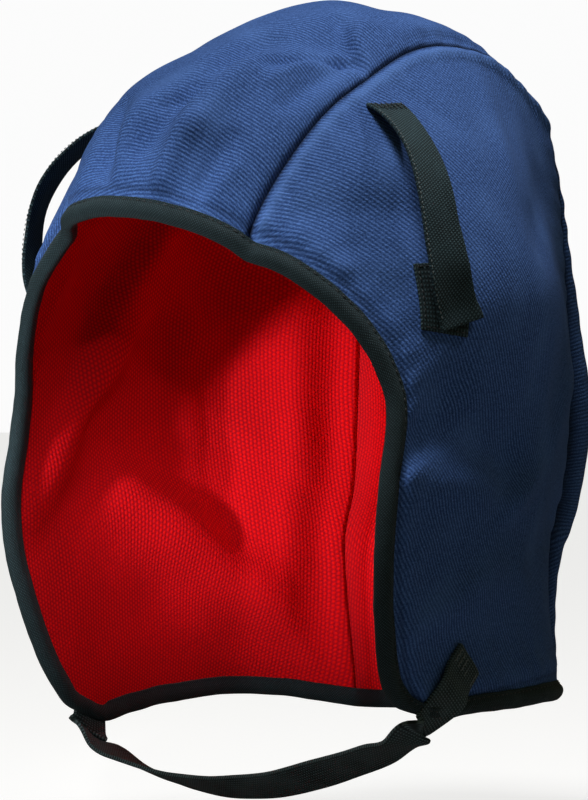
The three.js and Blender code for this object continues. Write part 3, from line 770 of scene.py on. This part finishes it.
def sideFolds(seed, sign):
    def at(along, up, u, v, ends):
        face, rear, hem, crown = ends
        side, edge = min(crown, rear), min(face, hem)
        lift = softFolds(u, v, seed) + pucker(u, crown, seed + 1.0) + pucker(v, rear, seed + 2.0)
        lift += pucker(v, face - 0.009, seed + 3.0) + 0.8 * pucker(u, hem - 0.009, seed + 5.0)
        lift += creaseSum(sideCreases[sign], sideSize, along, up)
        lift += cloth["edgeTall"] * (bell(face - 0.0165, 0.005) + bell(hem - 0.0165, 0.005))
        welt = bell(crown - 0.0038, 0.0024)  # the seam's turned-in edge stands up
        lift += (0.0005 + 0.0016 * bell(along - 0.72, 0.24)) * welt
        lift = lift * smooth(side, 0.0, 0.003) * smooth(edge, 0.009, 0.014)
        lift += cloth["seamTall"] * smooth(side, 0.0004, 0.003) * smooth(edge, 0.009, 0.014)
        # painted shade in the seam's valley and along the binding's edge, a painted highlight on the welt,
        # and random lighter patches of wear
        shade = 0.5 - 0.42 * bell(side, 0.0011) + 0.22 * welt - 0.2 * bell(edge - 0.0105, 0.0012)
        shade += 0.16 * max(ripple(u, v, 0.02, seed + 6), 0)
        return lift, shade

    return at


def leftSurface(along, up):
    return roundSide(along, up, 1)


def rightSurface(along, up):
    return roundSide(along, up, -1)


def crownSurface(across, share):
    return centrePoint(share, across * 2 - 1)


def layCloth(piece, node, material, wall):
    addWall(piece, wall, -1)
    wear(piece, material, node)


# along, up, length, width, turn in degrees, depth in metres (towards the head is positive)
liningFolds = {
    -1: [
        (0.56, 0.27, 0.26, 0.05, -28, 0.0075),
        (0.4, 0.43, 0.24, 0.055, -24, -0.003),
        (0.45, 0.66, 0.2, 0.03, 35, 0.004),
        (0.38, 0.56, 0.2, 0.025, 35, 0.003),
        (0.55, 0.74, 0.2, 0.03, 35, 0.003),
        (0.92, 0.45, 0.12, 0.3, 0, 0.005),
        (0.7, 0.48, 0.05, 0.3, 0, -0.003),
        (0.8, 0.2, 0.16, 0.06, 10, 0.004),
    ],
    1: [
        (0.5, 0.42, 0.3, 0.06, 20, 0.004),
        (0.55, 0.64, 0.24, 0.04, -30, 0.003),
        (0.7, 0.25, 0.2, 0.06, -10, 0.004),
    ],
}


def liningSide(seed, sign):
    def at(along, up, u, v, ends):
        seam = min(ends[3], ends[1])
        inner = smooth(min(ends), 0.01, 0.035)
        deep = ovalSum(liningFolds[sign], along, up) + 0.0016 * (1 + ripple(u, v, 0.03, seed))
        gather = abs(pucker(u, ends[3], seed + 1.0)) + abs(pucker(v, ends[1], seed + 2.0))
        sewn = smooth(seam, 0.0003, 0.004) * smooth(min(ends[0], ends[2]), 0.01, 0.016)
        follow = min(creaseSum(sideCreases[sign], sideSize, along, up), 0)
        follow = follow * smooth(min(ends), 0.006, 0.014)
        follow += 0.0004 * (1 - smooth(min(ends[0], ends[2]), 0.007, 0.012))  # held by the binding
        lift = follow - inner * max(deep, 0) - (0.6 * gather + 0.0005) * sewn
        # the second value is painted shade along the lining's seams
        return lift, 0.5 - 0.2 * bell(seam, 0.001)

    return at


def liningCrown(seed):
    def at(across, share, u, v, ends):
        seam = min(ends[0], ends[1])
        inner = smooth(min(ends), 0.008, 0.03)
        gather = abs(pucker(v, seam, seed + 1.0)) + 0.001
        sewn = smooth(seam, 0.0003, 0.004) * smooth(min(ends[2], ends[3]), 0.01, 0.016)
        follow = min(creaseSum(crownCreases, crownSize, share, across * 2 - 1), 0)
        follow = follow * smooth(min(ends), 0.0, 0.004)
        soft = inner * 0.0016 * (1 + ripple(u, v, 0.03, seed))
        # the second value is painted shade along the lining's seams
        return follow - soft - 0.6 * gather * sewn, 0.5 - 0.2 * bell(seam, 0.001)

    return at


# name, node, surface, cells across and along it, folds and cloth
shells = [
    ("centerShell", "center_panel", crownSurface, (110, 340), crownFolds(1.0), crownTwill),
    ("leftShell", "left_side_panel", leftSurface, (130, 150), sideFolds(11.0, 1), sideTwill),
    ("rightShell", "right_side_panel", rightSurface, (130, 150), sideFolds(21.0, -1), farTwill),
]
linings = [
    ("centerLining", "center_lining", crownSurface, (72, 196), liningCrown(31.0), redKnit),
    ("leftLining", "left_lining", leftSurface, (96, 112), liningSide(41.0, 1), redKnit),
    ("rightLining", "right_lining", rightSurface, (96, 112), liningSide(51.0, -1), redKnit),
]


def layAll(rows, depth, wall):
    for name, node, surface, cells, folds, material in rows:
        piece = clothGrid(name, *cells, surface, depth, folds, surface != crownSurface)
        layCloth(piece, node, material, wall)


layAll(shells, 0.0, cap["shellWall"])
print("shell laid")
layAll(linings, cap["shellWall"] + cap["layerGap"], cap["liningWall"])
print("linings laid")

binding = {
    "width": 0.01,
    "wall": 0.0005,
    "step": 0.0028,
    "stitchIn": 0.0056,  # stitch line, from the cap's edge
    "stitchLift": 0.00092,
    "stitchPitch": 0.0033,
    "stitchLong": 0.0027,
    "stitchThick": 0.0007,
}


def edgeSpots():
    # stops round the cap's edge: each has its edge point and the point a strip's width in
    spots = []

    def inward(edge, inner):
        return edge + (inner - edge).normalized() * binding["width"]

    def faceStops(sign, t):
        up = clamp(t, 0.035, 0.985)
        edge = roundSide(0, t, sign)
        return edge, inward(edge, sidePoint(0.05, up, sign))

    def hemStops(sign, t):
        along = clamp(t, 0.035, 0.985)
        edge = roundSide(t, 0, sign)
        return edge, inward(edge, sidePoint(along, 0.05, sign))

    def crownStops(t, share, step):
        across = 1 - 2 * t
        edge = centrePoint(share, across)
        return edge, inward(edge, centrePoint(share + step, across * 0.99))

    parts = round(runLength(lambda t: sidePoint(0, t, 1)) / binding["step"])
    browParts = round(runLength(lambda t: centrePoint(0, 1 - 2 * t)) / binding["step"])
    hemParts = round(runLength(lambda t: sidePoint(t, 0, 1)) / binding["step"])
    spots += [faceStops(1, i / parts) for i in range(parts)]
    spots += [crownStops(i / browParts, 0, 0.03) for i in range(browParts)]
    spots += [faceStops(-1, 1 - i / parts) for i in range(parts)]
    spots += [hemStops(-1, i / hemParts) for i in range(hemParts)]
    spots += [crownStops(1 - i / browParts, 1, -0.03) for i in range(browParts)]
    spots += [hemStops(1, 1 - i / hemParts) for i in range(hemParts)]
    return spots


innerMiddle = Vector((0, 0.02, -0.15))  # a point that the binding's outside faces away from


def evenFrames(spots):
    count = len(spots)
    frames = []
    for i, (edge, inner) in enumerate(spots):
        run = (spots[(i + 1) % count][0] - spots[i - 1][0]).normalized()
        inward = inner - edge
        inward = (inward - run * inward.dot(run)).normalized()
        out = run.cross(inward)
        if out.dot(edge - innerMiddle) < 0:
            out = -out
        frames.append([edge, run, inward, out])
    for turn in range(6):  # eases the directions where the panels and corners meet
        for k in (2, 3):
            held = [frame[k] for frame in frames]
            for i in range(count):
                frames[i][k] = (held[i - 1] + held[i] * 2 + held[(i + 1) % count]).normalized()
    return frames, runsOf([frame[0] for frame in frames + frames[:1]])


edgeFrames, edgeRuns = evenFrames(edgeSpots())
edgeLength = edgeRuns[-1]

# in from the edge, and lift from the cap's outer face, in metres: the strip's outside, from its sewn lip
# over the rim to its sewn lip on the lining
bindingSection = [
    (0.007, 0.00005),
    (0.0069, 0.0006),
    (0.0064, 0.0009),
    (0.0056, 0.00065),  # pulled down by the stitches
    (0.0047, 0.0015),
    (0.0036, 0.002),
    (0.0024, 0.00205),
    (0.0012, 0.00165),
    (0.0001, 0.00085),
    (-0.0007, -0.0003),
    (-0.0012, -0.0015),
    (-0.001, -0.0027),
    (-0.0001, -0.00385),
    (0.0012, -0.00465),
    (0.0028, -0.005),
    (0.0044, -0.0049),
    (0.0055, -0.00455),
    (0.0062, -0.0043),
    (0.0069, -0.0045),
    (0.0074, -0.00385),
    (0.0075, -0.00335),
]
sectionRuns = runsOf([Vector(point) for point in bindingSection])


def makeBinding():
    size = (len(bindingSection) - 1, len(edgeFrames))
    bm, layer = startGrid(*size)
    place = placesOf(bm, *size)
    layFlat(bm, layer, {vert: (edgeRuns[i], sectionRuns[k]) for vert, (k, i) in place.items()})
    for vert, (k, i) in place.items():
        edge, run, inward, out = edgeFrames[i % size[1]]
        into, lift = bindingSection[k]
        here = edgeRuns[i] if i < size[1] else 0.0
        full = bell(into - 0.0025, 0.0035) if lift > 0 else 0.5
        turn = here / edgeLength * 2 * math.pi
        wobble = noise.noise(Vector((math.cos(turn) * 16, math.sin(turn) * 16, 3.0)))
        slant = noise.noise(Vector((math.cos(turn) * 42 + into * 90, math.sin(turn) * 42, 9.0)))
        lift += (0.0005 * wobble + 0.00042 * slant) * full
        into += 0.00035 * wobble
        vert.co = edge + inward * into + out * lift
    bmesh.ops.remove_doubles(bm, verts=bm.verts, dist=0.00001)
    bmesh.ops.recalc_face_normals(bm, faces=bm.faces)
    return bm


bindingPiece = newPiece(makeBinding(), "edgeBinding")
if sum(p.normal.dot(p.center - innerMiddle) * p.area for p in bindingPiece.data.polygons) < 0:
    bindingPiece.data.flip_normals()
addWall(bindingPiece, binding["wall"], -1)
smoother = bindingPiece.modifiers.new("soft", "SUBSURF")
smoother.levels = smoother.render_levels = 1
wear(bindingPiece, biasTape, "edge_binding")
print("binding made,", round(edgeLength, 3), "m round,", len(edgeFrames), "rings")


def stitchRun(name, marks, thread, thickness, material, slot):
    # short rounded stitches: each mark gives its middle, its direction and its outward normal
    bm = bmesh.new()
    for spot, run, face in marks:
        side = run.cross(face).normalized()
        turn = Matrix((run.normalized(), side, face.normalized())).transposed().to_4x4()
        size = Matrix.Diagonal((thread / 2, thickness / 2, thickness / 2 * 0.8, 1))
        place = Matrix.Translation(spot) @ turn @ size
        bmesh.ops.create_icosphere(bm, subdivisions=1, radius=1.0, matrix=place)
    return wear(newPiece(bm, name), material)


def bindingMarks(into, lift):
    marks = []
    count = round(edgeLength / binding["stitchPitch"])
    i = 0
    for n in range(count):
        run = (n + 0.5) * edgeLength / count
        while edgeRuns[i + 1] < run:
            i += 1
        t = (run - edgeRuns[i]) / (edgeRuns[i + 1] - edgeRuns[i])
        before, after = edgeFrames[i], edgeFrames[(i + 1) % len(edgeFrames)]
        edge, direction, inward, out = (a.lerp(b, t) for a, b in zip(before, after))
        marks.append((edge + inward * into + out * lift, direction, out))
    return marks


marks = bindingMarks(binding["stitchIn"], binding["stitchLift"])
size = (binding["stitchLong"], binding["stitchThick"])
bindingStitches = stitchRun("bindingStitches", marks, *size, darkThread, "binding_tape")
print("binding stitched")


def curveThrough(points, share):
    # smooth curve through points of any size, as lists of numbers
    spans = len(points) - 1
    i = min(int(share * spans), spans - 1)
    t = share * spans - i
    a, b, c, d = (points[clamp(k, 0, spans)] for k in (i - 1, i, i + 1, i + 2))
    if spans > 2:  # a long run goes straight on past its ends
        a = a if i > 0 else [2 * p - q for p, q in zip(b, c)]
        d = d if i < spans - 1 else [2 * q - p for p, q in zip(b, c)]
    out = []
    for p, q, r, s in zip(a, b, c, d):
        m, n = (r - p) / 2, (s - q) / 2
        out.append((2 * q - 2 * r + m + n) * t**3 + (-3 * q + 3 * r - 2 * m - n) * t**2 + m * t + q)
    return out


def panelFrame(along, up, sign):
    front, back, low, high = clamp(along - 0.01), clamp(along + 0.01), clamp(up - 0.01), clamp(up + 0.01)
    point = sidePoint(along, up, sign)
    runBack = sidePoint(back, up, sign) - sidePoint(front, up, sign)
    runUp = sidePoint(along, high, sign) - sidePoint(along, low, sign)
    normal = (runBack.cross(runUp) * sign).normalized()
    perAlong, perUp = runBack.length / (back - front), runUp.length / (high - low)
    return point, normal, runBack.normalized(), runUp.normalized(), perAlong, perUp


def ribbon(name, stops, values, material, node):
    # a woven band through stops of a point and an outer face
    across, along, widths = values["columns"], len(stops) - 1, values["widths"]
    frames = []
    for i, (point, face) in enumerate(stops):
        direction = (stops[min(i + 1, along)][0] - stops[max(i - 1, 0)][0]).normalized()
        widthways = face.cross(direction).normalized()
        spot = i / along * (len(widths) - 1)
        k = min(int(spot), len(widths) - 2)
        share = widths[k] + (widths[k + 1] - widths[k]) * smooth(spot - k, 0, 1)
        frames.append((point, direction, widthways * share, direction.cross(widthways).normalized()))
    run = runsOf([point for point, face in stops])
    bm, layer = startGrid(across, along)
    place = placesOf(bm, across, along)
    for vert, (a, i) in place.items():
        side = (a / across * 2 - 1) * values["width"] / 2
        point, direction, widthways, face = frames[i]
        place[vert] = (side, run[i])
        cup = values["cup"] * (1 - (2 * a / across - 1) ** 2) * values["width"]
        wave = values["wave"] * noise.noise(Vector((run[i] / 0.02, a / across * 2, values["seed"])))
        lip = -values["lip"] * smooth(abs(2 * a / across - 1), 0.82, 1.0)
        vert.co = point + widthways * side + face * (cup + wave + lip)
    layFlat(bm, layer, place)
    bm.normal_update()
    outwards = 0.0
    for meshFace in bm.faces:
        i = min(round(place[meshFace.verts[0]][1] / run[-1] * along), along)
        outwards += meshFace.normal.dot(frames[i][3])
    if outwards < 0:
        bmesh.ops.reverse_faces(bm, faces=bm.faces)
    piece = newPiece(bm, name)
    addWall(piece, values["wall"], 0)
    edge = piece.modifiers.new("edge", "BEVEL")
    edge.width = values["wall"] * 0.3
    edge.segments = 2
    edge.limit_method = "ANGLE"
    wear(piece, material, node)
    return piece, frames, run


def ribbonMarks(frames, run, rows, wall):
    # stitches on a band: distance along it, distance across it, turn in degrees
    marks = []
    for far, side, turn in rows:
        i = 0
        while i < len(run) - 2 and run[i + 1] < far:
            i += 1
        t = clamp((far - run[i]) / (run[i + 1] - run[i]))
        point, direction, widthways, face = (a.lerp(b, t) for a, b in zip(frames[i], frames[i + 1]))
        c, s = math.cos(math.radians(turn)), math.sin(math.radians(turn))
        marks.append((point + widthways * side + face * wall, direction * c + widthways * s, face))
    return marks


def sewBand(name, band, rows, lift, size, thread, slot):
    frames, run = band
    return stitchRun(name, ribbonMarks(frames, run, rows, lift), *size, thread, slot)


def stitchGrid(fromRun, toRun, rowsAcross, half, pitch, turn):
    rows = []
    count = max(round((toRun - fromRun) / pitch), 1)
    for r in range(rowsAcross):
        side = (r / max(rowsAcross - 1, 1) * 2 - 1) * half
        for n in range(count):
            far = fromRun + (n + 0.5) * (toRun - fromRun) / count
            rows.append((far, side, turn * (1 if (r + n) % 2 else -1)))
    return rows


bandShape = {"columns": 14, "lip": 0.0002, "widths": [1, 1]}  # widths: shares of the width along it
tabs = {
    **bandShape,
    "width": 0.02,
    "wall": 0.0015,
    "cup": -0.03,
    "wave": 0.0006,
    "seed": 5.0,
    "spots": [(0.384, 0.958), (0.318, 0.862), (0.256, 0.765), (0.226, 0.696), (0.23, 0.64)],
    "overPatch": 0.0017,
    "seat": 0.0013,
}


def tabStops(sign, bulge):
    stops = []
    steps = 44
    for i in range(steps + 1):
        share = i / steps
        along, up = curveThrough(tabs["spots"], share)
        point, normal = panelFrame(along, up, sign)[:2]
        bow = max(math.sin(math.pi * share**0.72 * 1.08), 0) ** 1.3 * bulge
        lift = tabs["seat"] + bow + smooth(share, 0.45, 0.7) * tabs["overPatch"]
        stops.append((point + normal * lift, normal))
    return stops


patch = {
    **bandShape,
    "along": 0.212,
    "up": 0.688,
    "length": 0.026,
    "lift": 0.0011,
    "width": 0.022,
    "wall": 0.0012,
    "cup": 0.0,
    "wave": 0.0003,
    "seed": 8.0,
    "stitchSide": 0.0094,
    "stitchEnd": 0.0014,
    "stitchPitch": 0.0027,
}


def patchStops(sign):
    run = (panelFrame(*tabs["spots"][-1], sign)[0] - panelFrame(*tabs["spots"][0], sign)[0]).normalized()
    runBack, runUp, perAlong, perUp = panelFrame(patch["along"], patch["up"], sign)[2:]
    slope = math.atan2(run.dot(runBack), -run.dot(runUp))
    stops = []
    steps = 16
    for i in range(steps + 1):
        down = (i / steps - 0.5) * patch["length"]
        back, rise = down * math.sin(slope), -down * math.cos(slope)
        spot, face = panelFrame(patch["along"] + back / perAlong, patch["up"] + rise / perUp, sign)[:2]
        stops.append((spot + face * patch["lift"], face))
    return stops


tabKinds = {
    "left": (1, 0.011, [0.8, 0.68, 0.72, 0.78, 0.84, 0.9, 0.96, 1.06]),  # side, bow, widths as it twists
    "right": (-1, 0.015, [0.9, 0.9, 1.0, 1.0]),
}
for label, (sign, bulge, widths) in tabKinds.items():
    shape = {**tabs, "widths": widths}
    name, node = label + "Tab", label + "_tab"
    piece, frames, run = ribbon(name, tabStops(sign, bulge), shape, flatTape, node)
    band, length = (frames, run), run[-1]
    bar = stitchGrid(0.0015, 0.0075, 7, 0.0084, 0.0012, 32)
    edge = [(0.01 + n * 0.002, -sign * 0.0092, 0) for n in range(round((length - 0.014) / 0.002))]
    tack = sewBand(label + "TabTack", band, bar, 0.00085, (0.0024, 0.0006), darkThread, "webbing")
    trim = sewBand(label + "TabSelvedge", band, edge, 0.0007, (0.0013, 0.0005), paleThread, "webbing")
    name, node = label + "TabPatch", label + "_tab_patch"
    piece, frames, run = ribbon(name, patchStops(sign), patch, hookTape, node)
    band, length, border = (frames, run), run[-1], []
    for side in (-patch["stitchSide"], patch["stitchSide"]):
        border += [(0.0016 + n * 0.0026, side, 0) for n in range(9)]
    for far in (patch["stitchEnd"], length - patch["stitchEnd"]):
        border += [(far, -0.008 + n * patch["stitchPitch"], 90) for n in range(7)]
    hem = sewBand(label + "PatchStitches", band, border, 0.0007, (0.002, 0.0006), darkThread, "hook_tape")
print("tabs and patches sewn on")

strap = {
    **bandShape,
    "width": 0.019,
    "wall": 0.0016,
    "cup": 0.012,
    "wave": 0.0005,
    "seed": 15.0,
    "end": (0.28, 0.115),
    "exit": (0.038, 0.006),
    "sewn": [(0, 0.0019), (0.25, 0.0019), (0.5, 0.0034), (1, 0.0034)],
    "past": 0.005,
    "drop": 0.025,
    "turn": 32,
    "hang": [
        (0.05, 0.2, 0.2),
        (0.12, 0.36, 0.5),
        (0.25, 0.6, 0.8),
        (0.4, 0.82, 1.0),
        (0.55, 0.89, 0.9),
        (0.7, 0.79, 0.6),
        (0.84, 0.54, 0.3),
        (0.94, 0.26, 0.1),
    ],
}


def strapStops():
    def hold(sign):
        stops = []
        for share, lift in strap["sewn"]:
            along, up = (a + (b - a) * share for a, b in zip(strap["end"], strap["exit"]))
            point, normal = panelFrame(along, up, sign)[:2]
            stops.append((point + normal * lift, normal))
        run = (stops[-1][0] - stops[-2][0]).normalized()
        return stops + [(stops[-1][0] + run * strap["past"], stops[-1][1])]

    left, right = hold(1), hold(-1)[::-1]
    start, end = left[-1][0], right[0][0]
    tilt = math.tan(math.radians(strap["turn"]))
    hang = []
    for share, drop, forward in strap["hang"]:
        point = start.lerp(end, share) - Vector((0, 0, strap["drop"] * drop))
        turn = math.pi * share
        hang.append((point, Vector((math.cos(turn), -tilt * forward, -math.sin(turn)))))
    stops = left + hang + right
    points, faces = [list(p) for p, f in stops], [list(f) for p, f in stops]
    steps = 132
    return [
        (Vector(curveThrough(points, i / steps)), Vector(curveThrough(faces, i / steps)).normalized())
        for i in range(steps + 1)
    ]


chinStrap, frames, run = ribbon("chinStrap", strapStops(), strap, strapTape, "chin_strap")
anchor = stitchGrid(0.0015, 0.0075, 6, 0.0078, 0.0012, 30)
anchor += [(run[-1] - far, side, turn) for far, side, turn in anchor]
band = (frames, run)
anchorStitches = sewBand("strapStitches", band, anchor, 0.0009, (0.0024, 0.0006), paleThread, "webbing")
print("chin strap hung,", round(run[-1], 3), "m")


studio = {
    "target": Vector((-0.01, -0.01345, -0.1642)),
    "away": Vector((0.8004, -1.0244, 0.0)),
    "lens": 139.3,
    "floor": -0.352,
    "backdrop": (0.97, 0.97, 0.97),
    "ambient": (0.082, 0.075, 0.034),
    "keyPlace": (0.1, -0.34, 1.02),
    "keyAim": (0, 0, -0.06),
    "keyPower": 11.8,
    "keySize": 0.35,
    # place, aim, power, cone in degrees, blend and size
    "spots": {
        "innerLight": ((-0.1, -1.25, -0.14), (-0.018, 0.06, -0.182), 122.0, 10.5, 0.8, 0.06),
        "lowLight": ((0.5, -0.95, 0.25), (-0.088, -0.02, -0.235), 48.0, 6.5, 1.0, 0.06),
        "sideLight": ((0.62, 0.5, 0.72), (0.07, -0.035, -0.06), 13.0, 12.0, 0.9, 0.04),
    },
}


def seenOnly(tree, seen, felt):
    # a strength that the camera sees, and another that lights the rest
    path = tree.nodes.new("ShaderNodeLightPath").outputs["Is Camera Ray"]
    return blendColor(tree, path, felt, seen)


def makeFloor():
    bm = bmesh.new()
    place = Matrix.Translation((0, 0, studio["floor"]))
    bmesh.ops.create_grid(bm, x_segments=1, y_segments=1, size=12.0, matrix=place)
    floor = newPiece(bm, "floor")
    material = bpy.data.materials.new("paleFloor")
    material.use_nodes = True
    tree = material.node_tree
    shader = tree.nodes["Principled BSDF"]
    shader.inputs["Base Color"].default_value = (0.3, 0.3, 0.3, 1)
    shader.inputs["Roughness"].default_value = 0.9
    shader.inputs["Specular IOR Level"].default_value = 0.1
    tree.links.new(seenOnly(tree, (0.8, 0.8, 0.8), (0.0, 0.0, 0.0)), shader.inputs["Emission Color"])
    shader.inputs["Emission Strength"].default_value = 1.0
    floor.data.materials.append(material)


def addLight(name, kind, place, aim, power, **settings):
    lamp = bpy.data.lights.new(name, kind)
    lamp.energy = power
    for setting, value in settings.items():
        setattr(lamp, setting, value)
    light = bpy.data.objects.new(name, lamp)
    light.location = place
    light.rotation_euler = (Vector(aim) - Vector(place)).to_track_quat("-Z", "Y").to_euler()
    bpy.context.scene.collection.objects.link(light)


makeFloor()
key = (studio["keyPlace"], studio["keyAim"], studio["keyPower"])
addLight("keyLight", "AREA", *key, size=studio["keySize"])
for name, (place, aim, power, cone, blend, size) in studio["spots"].items():
    shape = {"spot_size": math.radians(cone), "spot_blend": blend, "shadow_soft_size": size}
    addLight(name, "SPOT", place, aim, power, **shape)

world = bpy.data.worlds.new("studio")
world.use_nodes = True
sky = world.node_tree
sky.links.new(seenOnly(sky, studio["backdrop"], studio["ambient"]), sky.nodes["Background"].inputs["Color"])
bpy.context.scene.world = world
bpy.context.scene.view_settings.view_transform = "Standard"

camera = bpy.data.objects.new("camera", bpy.data.cameras.new("camera"))
camera.data.lens = studio["lens"]
camera.data.sensor_width = 36
camera.location = studio["target"] + studio["away"]
camera.rotation_euler = (-studio["away"]).to_track_quat("-Z", "Y").to_euler()
bpy.context.scene.collection.objects.link(camera)
bpy.context.scene.camera = camera
print("stage set")
